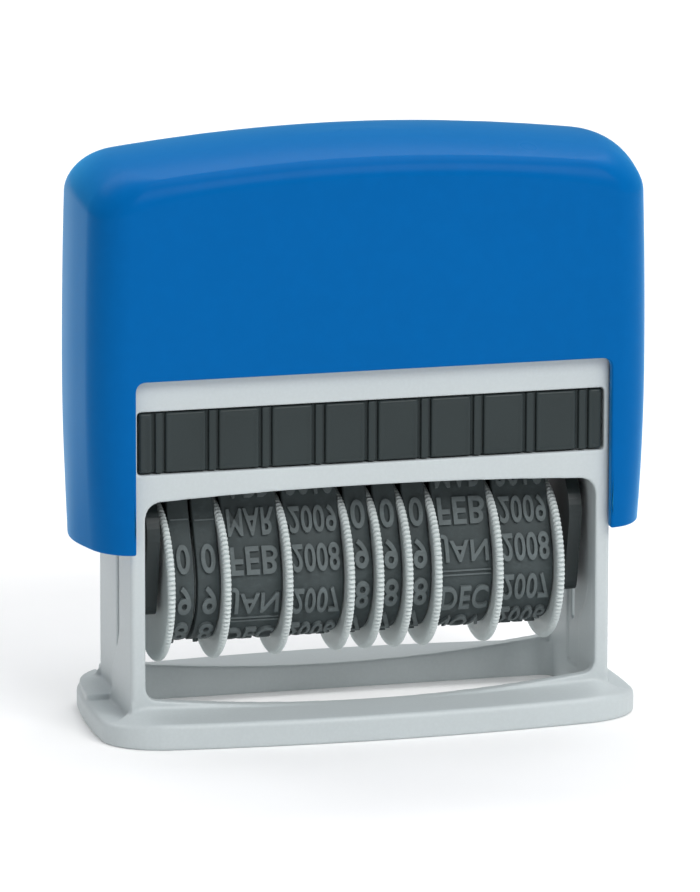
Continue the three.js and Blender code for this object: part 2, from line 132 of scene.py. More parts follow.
# ---- outlines -----------------------------------------------------------------------------
def quad(a, b, c, steps):
    """Points of the curve from a to c that leaves and arrives pointing at b, without a itself."""
    points = []
    for i in range(1, steps + 1):
        t = i / steps
        points.append(tuple((1 - t) ** 2 * p + 2 * t * (1 - t) * q + t * t * r for p, q, r in zip(a, b, c)))
    return points


def arc(centre, radius, start, end, steps):
    """Points of an arc between two angles in degrees, both ends included."""
    angles = [math.radians(start + (end - start) * i / steps) for i in range(steps + 1)]
    return [(centre[0] + radius * math.cos(a), centre[1] + radius * math.sin(a)) for a in angles]


def rounded(x0, x1, y0, y1, r, steps):
    """Outline of a rectangle with round corners."""
    corners = [(x1 - r, y0 + r, -90), (x1 - r, y1 - r, 0), (x0 + r, y1 - r, 90), (x0 + r, y0 + r, 180)]
    return [p for x, y, a in corners for p in arc((x, y), r, a, a + 90, steps)]


def ring(half_x, half_y, front, rear, straight=28, bend=11, end=8):
    """A rounded rectangle in plan; front and rear are its corner radii, the rest are counts of steps."""
    corners = [(1, -1, -90, front), (1, 1, 0, rear), (-1, 1, 90, rear), (-1, -1, 180, front)]
    arcs = [arc((sx * (half_x - r), sy * (half_y - r)), r, a, a + 90, bend) for sx, sy, a, r in corners]
    points = []
    for k, here in enumerate(arcs):
        points += here
        steps = end if k % 2 == 0 else straight
        (x0, y0), (x1, y1) = here[-1], arcs[(k + 1) % 4][0]
        points += [(x0 + (x1 - x0) * i / steps, y0 + (y1 - y0) * i / steps) for i in range(1, steps)]
    return points


def smoothstep(value, low, high):
    """0 up to low, 1 from high on, and a soft rise between them."""
    t = min(1, max(0, (value - low) / (high - low)))
    return t * t * (3 - 2 * t)


# ---- meshes -------------------------------------------------------------------------------
def mesh_object(name, vertices, faces):
    """A new object from points in millimetres."""
    mesh = bpy.data.meshes.new(name)
    mesh.from_pydata([Vector(v) * MM for v in vertices], [], faces)
    obj = bpy.data.objects.new(name, mesh)
    scene.collection.objects.link(obj)
    return obj


def place(axis, a, b, along):
    """The point with coordinates a, b across an axis and along on it."""
    return {"X": (along, a, b), "Y": (a, along, b), "Z": (a, b, along)}[axis]


def edit(obj, change):
    """Runs change(bmesh) on an object's mesh."""
    bm = bmesh.new()
    bm.from_mesh(obj.data)
    change(bm)
    bm.to_mesh(obj.data)
    bm.free()
    return obj


def face_out(bm):
    bmesh.ops.recalc_face_normals(bm, faces=bm.faces)


def prism(name, outline, axis, low, high):
    """A closed prism of an outline, along X (outline in Y, Z), Y (in X, Z) or Z (in X, Y)."""
    count = len(outline)
    vertices = [place(axis, a, b, along) for along in (low, high) for a, b in outline]
    faces = [tuple(range(count)), tuple(range(count, 2 * count))]
    faces += [(i, (i + 1) % count, count + (i + 1) % count, count + i) for i in range(count)]
    return edit(mesh_object(name, vertices, faces), face_out)


def box(x0, x1, y0, y1, z0, z1):
    return prism("box", [(x0, y0), (x1, y0), (x1, y1), (x0, y1)], "Z", z0, z1)


def rod(radius, axis, centre, low, high, sides):
    return prism("rod", arc(centre, radius, 0, 360 - 360 / sides, sides - 1), axis, low, high)


def skin(name, rings, closed):
    """A solid over rings of points; the last ring joins the first, or both ends get a lid."""
    count = len(rings[0])
    vertices = [p for points in rings for p in points]
    faces = []
    for j in range(len(rings) if closed else len(rings) - 1):
        a, b = j * count, (j + 1) % len(rings) * count
        faces += [(a + i, a + (i + 1) % count, b + (i + 1) % count, b + i) for i in range(count)]
    if not closed:
        faces += [tuple(range(count)), tuple(range(len(vertices) - count, len(vertices)))]
    return edit(mesh_object(name, vertices, faces), face_out)


def lathe_x(name, profile, sides, centre_z=WHEEL_Z, teeth=None):
    """A closed profile of (x, radius) turned about X. teeth(angle, x, radius) may move a point."""
    rings = []
    for x, radius in profile:
        points = []
        for i in range(sides):
            angle = 2 * math.pi * i / sides
            at, r = teeth(angle, x, radius) if teeth else (x, radius)
            points.append((at, r * math.cos(angle), centre_z + r * math.sin(angle)))
        rings.append(points)
    return skin(name, rings, closed=True)


def apply_modifiers(obj):
    """Gives an object the mesh that its modifiers make, and removes them."""
    evaluated = obj.evaluated_get(bpy.context.evaluated_depsgraph_get())
    mesh = bpy.data.meshes.new_from_object(evaluated)
    obj.modifiers.clear()
    obj.data = mesh
    return obj


def combine(obj, others, operation):
    """Cuts others out of obj, or joins them to it, and removes them."""
    for other in others:
        modifier = obj.modifiers.new("combine", "BOOLEAN")
        modifier.operation = operation
        modifier.solver = "EXACT"
        modifier.object = other
        apply_modifiers(obj)
        bpy.data.objects.remove(other)
    return obj


def join(obj, others):
    """Puts the meshes of others into obj as separate shells."""
    bm = bmesh.new()
    bm.from_mesh(obj.data)
    for other in others:
        bm.from_mesh(other.data)
        bpy.data.objects.remove(other)
    bm.to_mesh(obj.data)
    bm.free()
    return obj


def clean(obj):
    """Merges coplanar faces, so that edges can be rounded evenly."""
    flat = math.radians(0.4)

    def change(bm):
        bmesh.ops.remove_doubles(bm, verts=bm.verts, dist=0.002 * MM)
        bmesh.ops.dissolve_limit(bm, angle_limit=flat, verts=bm.verts, edges=bm.edges)
        face_out(bm)
    return edit(obj, change)


def shade_smooth(obj):
    obj.data.polygons.foreach_set("use_smooth", [True] * len(obj.data.polygons))


def round_edges(obj, width, segments, angle):
    """Bevels the edges that turn by more than an angle in degrees."""
    bevel = obj.modifiers.new("edges", "BEVEL")
    bevel.width = width * MM
    bevel.segments = segments
    bevel.limit_method = "ANGLE"
    bevel.angle_limit = math.radians(angle)
    bevel.use_clamp_overlap = False
    return bevel


def even_normals(obj):
    normals = obj.modifiers.new("normals", "WEIGHTED_NORMAL")
    normals.keep_sharp = True


def soften(obj, width, segments=3, angle=34):
    """Rounds the edges, unless width is 0, and shades the surface smoothly."""
    if width:
        round_edges(obj, width, segments, angle).miter_outer = "MITER_ARC"
    shade_smooth(obj)
    even_normals(obj)
    return obj


def mould(obj, voxel, passes, kept):
    """Remakes the surface as one skin with every edge and inside corner softly rounded."""
    remesh = obj.modifiers.new("skin", "REMESH")
    remesh.mode = "VOXEL"
    remesh.voxel_size = voxel * MM
    smooth = obj.modifiers.new("melt", "SMOOTH")
    smooth.factor = 0.5
    smooth.iterations = passes
    light = obj.modifiers.new("light", "DECIMATE")
    light.ratio = kept
    return apply_modifiers(obj)


# ---- materials ----------------------------------------------------------------------------
def new_material(name):
    material = bpy.data.materials.new(name)
    material.use_nodes = True
    nodes = material.node_tree.nodes
    return material, nodes, material.node_tree.links, nodes["Principled BSDF"]


def noise(nodes, links, scale, detail, roughness=0.5, stretch=(1, 1, 1)):
    """A noise texture in object space, scale in features per metre."""
    coordinates = nodes.new("ShaderNodeTexCoord")
    mapping = nodes.new("ShaderNodeMapping")
    mapping.inputs["Scale"].default_value = stretch
    texture = nodes.new("ShaderNodeTexNoise")
    texture.inputs["Scale"].default_value = scale
    texture.inputs["Detail"].default_value = detail
    texture.inputs["Roughness"].default_value = roughness
    links.new(coordinates.outputs["Object"], mapping.inputs["Vector"])
    links.new(mapping.outputs["Vector"], texture.inputs["Vector"])
    return texture.outputs["Fac"]


def ramp(nodes, links, value, stops):
    """Maps a value to colours (or greys) by position."""
    node = nodes.new("ShaderNodeValToRGB")
    elements = node.color_ramp.elements
    while len(elements) < len(stops):
        elements.new(0.5)
    for element, (position, colour) in zip(elements, stops):
        element.position = position
        element.color = (*colour, 1) if isinstance(colour, tuple) else (colour, colour, colour, 1)
    links.new(value, node.inputs["Fac"])
    return node.outputs["Color"]


def mix(nodes, links, factor, base, colour):
    """Goes from the base's output to a plain colour as the factor's output rises."""
    node = nodes.new("ShaderNodeMix")
    node.data_type = "RGBA"
    base_socket, colour_socket, colour_result = node.inputs[6], node.inputs[7], node.outputs[2]
    links.new(base, base_socket)
    colour_socket.default_value = (*colour, 1)
    links.new(factor, node.inputs["Factor"])
    return colour_result


def bump(nodes, links, layers, normal):
    """Adds bump layers (height, strength, distance in mm) one on the other."""
    last = None
    for height, strength, distance in layers:
        node = nodes.new("ShaderNodeBump")
        node.inputs["Strength"].default_value = strength
        node.inputs["Distance"].default_value = distance * MM
        links.new(height, node.inputs["Height"])
        if last:
            links.new(last, node.inputs["Normal"])
        last = node.outputs["Normal"]
    links.new(last, normal)


def shade(colour, factor):
    return tuple(min(1, c * factor) for c in colour)


def plastic(name, colour, rough, grain, variation, specular=0.5, grain_scale=2600, sheen=None):
    """Moulded plastic: slow colour drift, a gloss that changes a little, and a fine mould grain.

    sheen is (weight, tint), a soft glow where the surface turns away.
    """
    material, nodes, links, shader = new_material(name)
    drift = noise(nodes, links, 55, 3)
    fine = noise(nodes, links, grain_scale, 2)
    wear = noise(nodes, links, 60, 1, 0.4, (1, 1, 1.6))
    darker, lighter = shade(colour, 1 - variation), shade(colour, 1 + variation)
    base = ramp(nodes, links, drift, [(0.3, darker), (0.7, lighter)])
    speck = ramp(nodes, links, fine, [(0.4, 0.0), (0.8, 0.35)])
    links.new(mix(nodes, links, speck, base, shade(colour, 1.12)), shader.inputs["Base Color"])
    gloss = ramp(nodes, links, wear, [(0.2, rough * 0.9), (0.8, rough * 1.1)])
    links.new(gloss, shader.inputs["Roughness"])
    bump(nodes, links, [(fine, grain, 0.012), (drift, 0.15, 0.05)], shader.inputs["Normal"])
    shader.inputs["Specular IOR Level"].default_value = specular
    if sheen:
        weight, tint = sheen
        shader.inputs["Sheen Weight"].default_value = weight
        shader.inputs["Sheen Tint"].default_value = (*tint, 1)
        shader.inputs["Sheen Roughness"].default_value = 0.45
    return material


def rubber(name, colour):
    """Vulcanised rubber: matt, mottled and faintly pitted, dusted with dry ink and chalk."""
    material, nodes, links, shader = new_material(name)
    mottle = noise(nodes, links, 420, 5, 0.6)
    pits = noise(nodes, links, 3200, 3, 0.7)
    dust = noise(nodes, links, 900, 4, 0.7, (1, 1, 1.6))
    base = ramp(nodes, links, mottle, [(0.25, shade(colour, 0.78)), (0.5, colour), (0.8, shade(colour, 1.2))])
    chalk = ramp(nodes, links, dust, [(0.52, 0.0), (0.8, 0.5)])
    links.new(mix(nodes, links, chalk, base, shade(colour, 1.7)), shader.inputs["Base Color"])
    links.new(ramp(nodes, links, mottle, [(0.2, 0.6), (0.8, 0.82)]), shader.inputs["Roughness"])
    bump(nodes, links, [(pits, 0.35, 0.03), (mottle, 0.25, 0.06)], shader.inputs["Normal"])
    shader.inputs["Specular IOR Level"].default_value = 0.35
    return material


def steel(name, colour, rough=0.28):
    """Drawn steel: brushed along X, with duller spots."""
    material, nodes, links, shader = new_material(name)
    drawn = noise(nodes, links, 900, 4, 0.6, (0.08, 1, 1))
    spots = noise(nodes, links, 300, 4)
    stained = ramp(nodes, links, spots, [(0.3, shade(colour, 0.8)), (0.7, colour)])
    links.new(stained, shader.inputs["Base Color"])
    gloss = ramp(nodes, links, drawn, [(0.3, rough * 0.7), (0.7, rough * 1.4)])
    links.new(gloss, shader.inputs["Roughness"])
    bump(nodes, links, [(drawn, 0.2, 0.01)], shader.inputs["Normal"])
    shader.inputs["Metallic"].default_value = 1.0
    return material


def felt_material(name, colour):
    """Ink soaked felt: fibres, wet patches and a soft sheen."""
    material, nodes, links, shader = new_material(name)
    fibres = noise(nodes, links, 2400, 6, 0.8, (1, 0.35, 1))
    wet = noise(nodes, links, 150, 3)
    links.new(ramp(nodes, links, fibres, [(0.3, shade(colour, 0.5)), (0.75, shade(colour, 1.9))]),
              shader.inputs["Base Color"])
    links.new(ramp(nodes, links, wet, [(0.35, 0.45), (0.7, 0.95)]), shader.inputs["Roughness"])
    bump(nodes, links, [(fibres, 0.8, 0.12)], shader.inputs["Normal"])
    shader.inputs["Sheen Weight"].default_value = 0.3
    return material


BLUE = plastic("cap blue plastic", (0.0, 0.108, 0.357), 0.3, grain=0.03, variation=0.02, specular=0.035,
               grain_scale=600, sheen=(0.6, (0.04, 0.5, 0.95)))
GREY = plastic("housing grey plastic", (0.53, 0.578, 0.588), 0.44, grain=0.2, variation=0.02)
# The carriers' own dark plastic; the yoke gets it too, as painted shade under the cap's edge.
DARK = plastic("carrier dark plastic, painted shade on yoke", (0.022, 0.03, 0.031), 0.42, grain=0.3, variation=0.12, specular=0.35)
TRAY_DARK = plastic("pad tray plastic", (0.026, 0.036, 0.037), 0.4, grain=0.2, variation=0.1, specular=0.25)
WHEEL_GREY = plastic("thumb wheel plastic", (0.66, 0.715, 0.71), 0.5, grain=0.3, variation=0.04)
RUBBER = rubber("band rubber", (0.052, 0.066, 0.068))
# The figures' rubber is a lighter copy of the band's rubber: painted light on their raised tops.
LIT_FIGURE_RUBBER = rubber("band figures painted light", (0.115, 0.137, 0.14))
STEEL = steel("steel", (0.62, 0.62, 0.64))
FELT = felt_material("ink felt", (0.008, 0.008, 0.012))


def finish_piece(obj, body, material, replaced):
    """Gives the piece its material and body, and hides the CAD nodes that it stands for."""
    if not obj.data.materials:
        obj.data.materials.append(material)
    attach(obj, body)
    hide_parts(*replaced)
    return obj


# ---- cap ----------------------------------------------------------------------------------
def cap_form(inset, drop, low, corners):
    """The moulded form of the cap: crowned top, round shoulders, ends that lean in."""
    half_x, half_y = CAP_HALF[0] - inset[0], CAP_HALF[1] - inset[1]
    crest = CAP_CREST - drop
    widest = CAP_WIDEST_Z
    bend_x, tip_x, bend_y = 0.0023, 0.3, 0.0153
    lean_low, lean_high = 1.08, 0.66
    swell_y, swell_reach, end_zone = -1.5, 11, 9
    shoulder_x, shoulder_y, shoulder_z, shoulder_tip = 6.1, 1.7, 2.05, 2.3
    wall_rows, row_step, shoulder_steps = 13, 3.3, 12

    def crown(x, y):
        return crest - bend_x * x * x + tip_x * (x / CAP_HALF[0]) ** 4 - bend_y * y * y

    def lean(z):
        if z < widest:
            return lean_low * ((widest - z) / (widest - CAP_LOW)) ** 2
        return lean_high * ((z - widest) / (CAP_CREST - widest)) ** 2

    def swell(y):
        return math.cos(min(1, abs(y - swell_y) / swell_reach) * math.pi / 2) ** 2

    def drawn(x, y, z):
        amount = lean(z) * (1 - swell(y)) if z < widest else lean(z)
        return x - math.copysign(amount * min(1, abs(x / half_x) ** 3), x)

    def bowed(x, y):
        on_end = abs(x) > half_x - end_zone
        return x + math.copysign(CAP_END_BOW * swell(y), x) if on_end else x

    outline = [(bowed(x, y), y) for x, y in ring(half_x, half_y, *corners)]
    top = [(x * (half_x - shoulder_x) / half_x, y * (half_y - shoulder_y) / half_y) for x, y in outline]
    start = max(CAP_LOW, low)
    heights = [start + row_step * k for k in range(wall_rows)]
    rings = [[(drawn(x, y, z), y, z) for x, y in outline] for z in heights]
    if low < CAP_LOW:
        rings.insert(0, [(x, y, low) for x, y, _ in rings[0]])
    for k in range(shoulder_steps + 1):
        angle = k / shoulder_steps * math.pi / 2
        points = []
        for (x, y), (tx, ty) in zip(outline, top):
            px = x + (tx - x) * (1 - math.cos(angle))
            py = y + (ty - y) * (1 - math.cos(angle))
            depth = shoulder_z + shoulder_tip * min(1, abs(x / half_x) ** 6)
            z = crown(px, py) - depth * (1 - math.sin(angle))
            points.append((px + (drawn(px, py, z) - px) * math.cos(angle), py, z))
        rings.append(points)
    for share in (0.93, 0.82, 0.68, 0.5, 0.3, 0.12):
        rings.append([(x * share, y * share, crown(x * share, y * share)) for x, y in top])
    return skin("cap form", rings, closed=False)


def notch_outline():
    """What the cap leaves open at its front and back."""
    half_x, high, r = NOTCH_X, NOTCH_HIGH, 1.4
    return ([(-half_x, CAP_LOW - 2), (half_x, CAP_LOW - 2), (half_x, high - r)]
            + quad((half_x, high - r), (half_x, high), (half_x - r, high), 8) + [(-half_x + r, high)]
            + quad((-half_x + r, high), (-half_x, high), (-half_x, high - r), 8))


def make_cap():
    """The press cap: a hollow shell, notched at front and back, with tubes that hold the springs."""
    cap = cap_form((0, 0), 0, CAP_LOW, CAP_CORNERS)
    hollow = cap_form(CAP_WALL, CAP_ROOF, CAP_LOW - 3, HOLLOW_CORNERS)
    notch = prism("notch", notch_outline(), "Y", -CAP_HALF[1] - BEYOND, CAP_HALF[1] + BEYOND)
    combine(cap, [hollow, notch], "DIFFERENCE")
    tubes = [rod(TUBE_R, "Z", (side * SPRING_X, 0), *TUBE_Z, 32) for side in (-1, 1)]
    combine(cap, tubes, "UNION")
    cap.name = "press_cap_shell"
    soften(cap, 0.28, segments=3, angle=40)
    return finish_piece(cap, "cap", BLUE, ["press_cap"])


# ---- frame --------------------------------------------------------------------------------
def window_outline():
    """The window before the bands: its sill sags and its top rises towards the middle."""
    half_x, low, high = 29.86, WINDOW_LOW, WINDOW_HIGH
    sag, rise, r_low, r_high = 1.7, 0.7, 2, 2.5
    points = [(-half_x + r_low, low)]
    points += quad(points[-1], (0, low - 2 * sag), (half_x - r_low, low), 40)
    points += quad(points[-1], (half_x, low), (half_x, low + r_low), 10)
    points += [(half_x, high - r_high)]
    points += quad(points[-1], (half_x, high), (half_x - r_high, high), 12)
    points += quad(points[-1], (0, high + 2 * rise), (-half_x + r_high, high), 40)
    points += quad(points[-1], (-half_x, high), (-half_x, high - r_high), 12)
    points += [(-half_x, low + r_low)]
    points += quad(points[-1], (-half_x, low), points[0], 10)[:-1]
    return points


def base_plan(inset):
    """The base from above: front and back are bowed, and the ends swell a little."""
    bow_reach = BASE_HALF[0] - 5
    most_swell, swell_bend, swell_y = 0.4, 0.0055, -6
    points = ring(BASE_HALF[0] - inset, BASE_HALF[1] - inset, *(r - inset for r in BASE_CORNERS), straight=40)
    bowed = []
    for x, y in points:
        bow = BASE_BOW * max(0, 1 - (x / bow_reach) ** 2)
        swell = most_swell - swell_bend * (y - swell_y) ** 2
        bowed.append((x + swell if x > 0 else x - swell, y + math.copysign(bow, y)))
    return bowed


def make_base():
    """The shells that make up the foot of the frame."""
    chamfer, edge_r, sunk = 0.25, 0.65, 0.3
    foot_r, opening_r = 2, 1.5
    ends_from, wall_depth = 29, 1.5
    sill, sill_rise = 3.5, 1.2
    slope_steps, slope_even = 8, 0.35
    shelf_inset, shelf_low, past_end, past_rear = 0.4, 1, 40, 20

    def drop(x):
        return (RIM_Z - LEDGE_Z) * smoothstep(abs(x), ends_from, BASE_HALF[0])

    def sweep(x, y):
        if abs(y) < FRONT_Y - wall_depth:
            return LEDGE_Z
        return sill + sill_rise * (x / FRAME_X) ** 2

    foot = ring(FRAME_X - sunk, FRONT_Y - sunk, foot_r, foot_r, straight=40)
    opening = ring(INNER_X, FRONT_Y - WALL, opening_r, opening_r, straight=40)
    rings = [[(x, y, 0) for x, y in opening], [(x, y, 0) for x, y in base_plan(chamfer)],
             [(x, y, chamfer) for x, y in base_plan(0)]]
    for angle in range(0, 91, 15):
        a = math.radians(angle)
        rings.append([(x, y, RIM_Z - edge_r * (1 - math.sin(a)) - drop(x))
                      for x, y in base_plan(edge_r * (1 - math.cos(a)))])
    rim = rings[-1]
    for k in range(1, slope_steps + 1):
        t = k / slope_steps
        points = []
        for (rx, ry, rz), (fx, fy) in zip(rim, foot):
            rise = (sweep(fx, fy) - rz) * (slope_even * t + (1 - slope_even) * t ** 3)
            points.append((rx + (fx - rx) * t, ry + (fy - ry) * t, rz + rise))
        rings.append(points)
    rings.append([(x, y, sweep(fx, fy)) for (x, y), (fx, fy) in zip(opening, foot)])
    shells = [skin("base", rings, closed=True)]
    for side in (-1, 1):
        shelf = prism("shelf", base_plan(shelf_inset), "Z", shelf_low, SHELF_TOP)
        in_x, out_x = sorted((side * (RECESS_X - sunk), side * past_end))
        limit = box(in_x, out_x, SHELF_FRONT, past_rear, 0, SHELF_TOP + BEYOND)
        shells.append(combine(shelf, [limit], "INTERSECT"))
    return shells


def recess_outline():
    """The recess outside an end wall, in Y and Z, with the wavy edge of the front post."""
    points = [(FRONT_Y + BEYOND, 2.8), (0.2, 2.8), (-0.3, 7.6)]
    points += quad(points[-1], (-2.4, 9), (-3.9, 12.4), 12)
    points += quad(points[-1], (-5.8, 14.8), (-5.9, 18.5), 12)
    return points + [(-5.7, FRAME_TOP + BEYOND), (FRONT_Y + BEYOND, FRAME_TOP + BEYOND)]


def groove_outline():
    """The shallow groove inside an end wall, in Y and Z."""
    points = [(1.9, 3.9), (1.9, 30.4), (-3.2, 30.4)]
    points += quad(points[-1], (-7.6, 24), (-7.7, 18.4), 14)
    points += quad(points[-1], (-7.6, 13.6), (-3.5, 11), 12)
    points += [(-3.5, 5.4)]
    return points + quad(points[-1], (-3.4, 3.9), (-1.9, 3.9), 6)


def corner_waste(x, y, r, low):
    """What a rounded upright corner takes away."""
    past = 0.2
    in_x, in_y = x - math.copysign(r, x), y - math.copysign(r, y)
    out_x, out_y = x + math.copysign(past, x), y + math.copysign(past, y)
    high = FRAME_TOP + BEYOND
    square = box(*sorted((in_x, out_x)), *sorted((in_y, out_y)), low, high)
    return combine(square, [rod(r, "Z", (in_x, in_y), low - BEYOND, high + BEYOND, 48)], "DIFFERENCE")


def slot_outline():
    """The slot in an end wall that a pivot pin slides down in, in Y and Z."""
    bottom = arc((0, PIVOT_Z - TRAVEL), SLOT_HALF, 180, 360, 16)
    return bottom + [(SLOT_HALF, PIVOT_Z + SLOT_HALF), (-SLOT_HALF, PIVOT_Z + SLOT_HALF)]


def frame_cuts():
    """What is cut out of the block that the frame's walls are made from."""
    past_top, past_front = FRAME_TOP + BEYOND, FRONT_Y + BEYOND
    cuts = [box(-INNER_X, INNER_X, -FRONT_Y + WALL, FRONT_Y - WALL, -BEYOND, past_top),
            prism("window", window_outline(), "Y", -past_front, past_front),
            box(-PASSAGE_X, PASSAGE_X, -past_front, -FRONT_Y + WALL + CLEAR, *PASSAGE_Z)]
    front_corner, rear_corner = POST_CORNERS
    rear_corner_low = 5
    for side in (-1, 1):
        inside, outside = side * (INNER_X - BEYOND), side * (FRAME_X + BEYOND)
        cuts.append(prism("recess", recess_outline(), "X", *sorted((side * RECESS_X, outside))))
        cuts.append(corner_waste(side * FRAME_X, -FRONT_Y, front_corner, WINDOW_LOW))
        cuts.append(corner_waste(side * RECESS_X, FRONT_Y, rear_corner, rear_corner_low))
        cuts.append(prism("groove", groove_outline(), "X", *sorted((inside, side * GROOVE_X))))
        cuts.append(prism("slot", slot_outline(), "X", *sorted((inside, outside))))
    return cuts


def make_frame():
    """The housing: four cut walls on their foot, with a deck, two rails and the springs' pegs."""
    sunk, overlap, rail_inner = 0.5, 0.2, 29.2
    housing = box(-FRAME_X, FRAME_X, -FRONT_Y, FRONT_Y, sunk, FRAME_TOP)
    combine(housing, frame_cuts(), "DIFFERENCE")
    deep = FRONT_Y - sunk
    front = FRONT_Y - WALL - CLEAR
    reach = INNER_X + overlap
    shells = make_base() + [box(-reach, reach, -deep, deep, *DECK)]
    for side in (-1, 1):
        shells.append(box(*sorted((side * rail_inner, side * reach)), -front, deep, *RAIL))
        peg_z = (DECK[1] - overlap, DECK[1] + PEG_HIGH)
        shells.append(rod(PEG_R, "Z", (side * SPRING_X, 0), *peg_z, 32))
    join(housing, shells)
    housing.name = "frame_housing_shell"
    mould(housing, voxel=0.2, passes=6, kept=0.2)
    soften(housing, 0)
    return finish_piece(housing, "frame", GREY, ["frame_housing"])


# ---- ink pad ------------------------------------------------------------------------------
def make_tray():
    """The pad's cartridge: a tray that opens downwards, behind a front of ribs and panels."""
    low, high = TRAY_Z
    well_x, well_front, well_rear, well_top = 27.9, -7.9, 7.5, 41.7
    half_rib, rib_front, rib_back = 0.475, TRAY_FACE + 0.02, TRAY_FACE + 0.8
    groove, groove_bottom = 0.36, TRAY_FACE + 0.55
    body = box(-TRAY_BODY_X, TRAY_BODY_X, -FRONT_Y + WALL - 0.1, TRAY_REAR, low, high)
    well = box(-well_x, well_x, well_front, well_rear, low - BEYOND, well_top)
    combine(body, [well], "DIFFERENCE")
    clean(body)
    soften(body, 0.25)
    back = box(-TRAY_X, TRAY_X, groove_bottom, -FRONT_Y + WALL, low, high)
    soften(back, 0.12, 2)
    apply_modifiers(back)
    ribs = [k * PANEL_PITCH for k in range(-4, 5)]
    aside = half_rib + groove
    panels = [(a + aside, b - aside) for a, b in zip(ribs, ribs[1:])]
    panels += [(-TRAY_X, ribs[0] - aside), (ribs[-1] + aside, TRAY_X)]
    pieces = [back] + [make_panel(x0, x1) for x0, x1 in panels]
    for x in ribs:
        ridge = box(x - half_rib, x + half_rib, rib_front, rib_back, low, high)
        soften(ridge, 0.16)
        apply_modifiers(ridge)
        pieces.append(ridge)
    apply_modifiers(body)
    join(body, pieces)
    body.name = "pad_tray_body"
    soften(body, 0)
    return finish_piece(body, "frame", TRAY_DARK, ["pad_tray"])


def make_panel(x0, x1):
    """One grip panel: a shallow tablet with a raised border round a slightly lower middle."""
    low, high = TRAY_Z
    border = ((0, 0.62), (0, 0.3), (0.1, 0.14), (0.24, 0.05), (0.45, 0.06), (0.62, 0.13), (0.9, 0.14))
    rings = []
    for inset, depth in border:
        outline = rounded(x0 + inset, x1 - inset, low + inset * 0.8, high - inset * 1.15, 0.28, 4)
        rings.append([(x, TRAY_FACE + depth, z) for x, z in outline])
    return skin("panel", rings, closed=False)


def make_felt():
    """The ink pad's felt: soft edges round an inking face with shallow hollows."""
    low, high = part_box("pad_felt")
    x0, y0, z0 = (c / MM for c in low)
    x1, y1, z1 = (c / MM for c in high)
    across, deep = 28, 8
    corner, raised = 1.2, 0.06
    hollow, wave_x, wave_y = 0.05, 0.9, 1.3
    face_high = z0 + 0.2
    rings = []
    for inset, z in ((0.0, z1), (0.0, z0 + 0.9), (0.12, z0 + 0.45), (0.45, z0 + 0.12), (1.1, z0)):
        outline = rounded(x0 + inset, x1 - inset, y0 + inset, y1 - inset, corner, 6)
        rings.append([(x, y, z) for x, y in outline])
    felt = skin("pad_felt_cushion", rings, closed=False)

    def dent(bm):
        for k in range(1, across):
            at = Vector(((x0 + (x1 - x0) * k / across) * MM, 0, 0))
            cut_plane(bm, at, Vector((1, 0, 0)))
        for k in range(1, deep):
            at = Vector((0, (y0 + (y1 - y0) * k / deep) * MM, 0))
            cut_plane(bm, at, Vector((0, 1, 0)))
        for v in bm.verts:
            if v.co.z < face_high * MM:
                worn = math.sin(v.co.x / MM * wave_x) * math.sin(v.co.y / MM * wave_y) * hollow
                v.co.z += (raised + worn) * MM
    edit(felt, dent)
    soften(felt, 0)
    finish_piece(felt, "frame", FELT, ["pad_felt"])
    return felt


def cut_plane(bm, point, normal):
    """Adds edges where a plane crosses a mesh."""
    geometry = bm.verts[:] + bm.edges[:] + bm.faces[:]
    bmesh.ops.bisect_plane(bm, geom=geometry, plane_co=point, plane_no=normal)


# ---- springs ------------------------------------------------------------------------------
def make_spring(side, name):
    """A compression spring with closed ends, swept as a round wire along its helix."""
    radius, wire, turns, low, high = 3.2, 0.4, 7.0, DECK[1] + 0.55, 72.3
    steps, sides = 30, 10
    flat, closed, end_share = 0.4, 1.6, 0.04
    rings = []
    for i in range(int(turns * steps) + 1):
        turn = i / steps
        share = smoothstep(turn, flat, closed) * end_share
        share += smoothstep(turn, turns - closed, turns - flat) * end_share
        share += (1 - 2 * end_share) * min(1, max(0, (turn - closed / 2) / (turns - closed)))
        angle = 2 * math.pi * turn
        x, y = side * SPRING_X + radius * math.cos(angle), radius * math.sin(angle)
        centre = Vector((x, y, low + (high - low) * share))
        out = Vector((math.cos(angle), math.sin(angle), 0))
        points = []
        for k in range(sides):
            a = 2 * math.pi * k / sides
            points.append(centre + out * (wire * math.cos(a)) + Vector((0, 0, wire * math.sin(a))))
        rings.append(points)
    spring = skin(f"{name}_coil", rings, closed=False)
    soften(spring, 0)
    finish_piece(spring, "frame", STEEL, [name])
    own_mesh(spring)
    return spring


